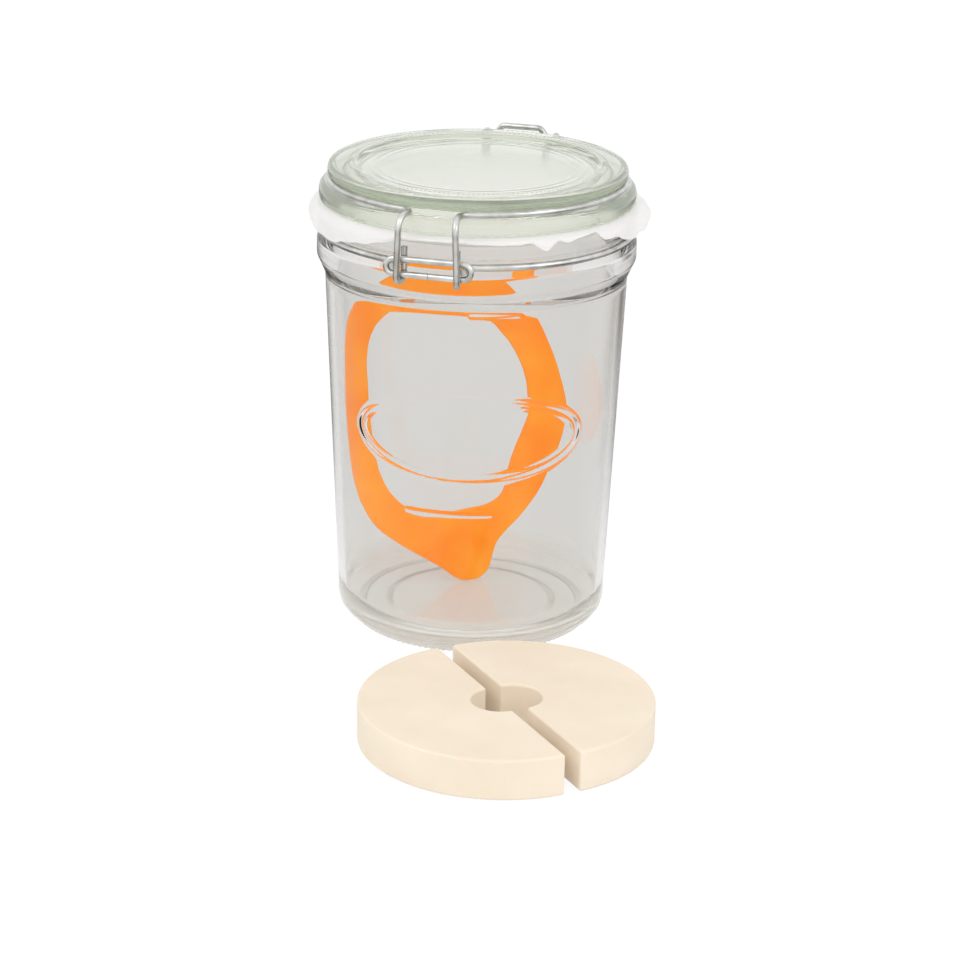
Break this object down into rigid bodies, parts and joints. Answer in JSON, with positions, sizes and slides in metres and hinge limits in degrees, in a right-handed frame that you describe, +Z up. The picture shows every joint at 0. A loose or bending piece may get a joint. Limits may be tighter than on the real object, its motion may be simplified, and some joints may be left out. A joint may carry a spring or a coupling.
{
  "type": "clip-top glass jar",
  "caption": "Clip-top glass jar with a hinged glass lid, wire bail and latch link, a rubber ring inside, a thin cover sheet across its mouth and two half-round ceramic weights.",
  "frame": {"origin": "middle of the jar's base, in the plane of the foot ring that it stands on", "axes": "+Z up along the jar's axis, -Y towards the latch, +Y towards the lid's hinge, +X to the right seen from the latch side"},
  "size_m": [0.1492, 0.2144, 0.1681],
  "materials": {
    "jar_glass": "clear moulded glass",
    "lid_glass": "clear pressed glass",
    "wire": "bright zinc-plated spring wire",
    "orange_rubber": "smooth natural rubber",
    "white_sheet": "thin white film or cloth",
    "cream_ceramic": "glazed stoneware"
  },
  "bodies": {
    "jar": {"jar_body": "jar_glass", "neck_wire": "wire", "gasket": "orange_rubber", "cover_sheet": "white_sheet", "sheet_wall": "white_sheet", "sheet_middle": "white_sheet"},
    "lid": {"lid": "lid_glass", "lid_wire": "wire", "hook_left": "wire", "hook_right": "wire"},
    "link": {"latch_link": "wire"},
    "left_weight": {"weight_left": "cream_ceramic"},
    "right_weight": {"weight_right": "cream_ceramic"}
  },
  "joints": [
    {"name": "lid_hinge", "type": "hinge", "parent": "jar", "child": "lid", "pos_m": [0, 0.05856, 0.162], "axis": [-1, 0, 0], "range_deg": [0, 110]},
    {"name": "link_swing", "type": "hinge", "parent": "jar", "child": "link", "pos_m": [0, -0.0597, 0.1472], "axis": [-1, 0, 0], "range_deg": [0, 180], "deforming": ["hook_left", "hook_right"]},
    {"name": "left_weight_lift", "type": "slide", "parent": "jar", "child": "left_weight", "axis": [0, 0, 1], "range_m": [0, 0.12]},
    {"name": "right_weight_lift", "type": "slide", "parent": "jar", "child": "right_weight", "axis": [0, 0, 1], "range_m": [0, 0.12]}
  ]
}
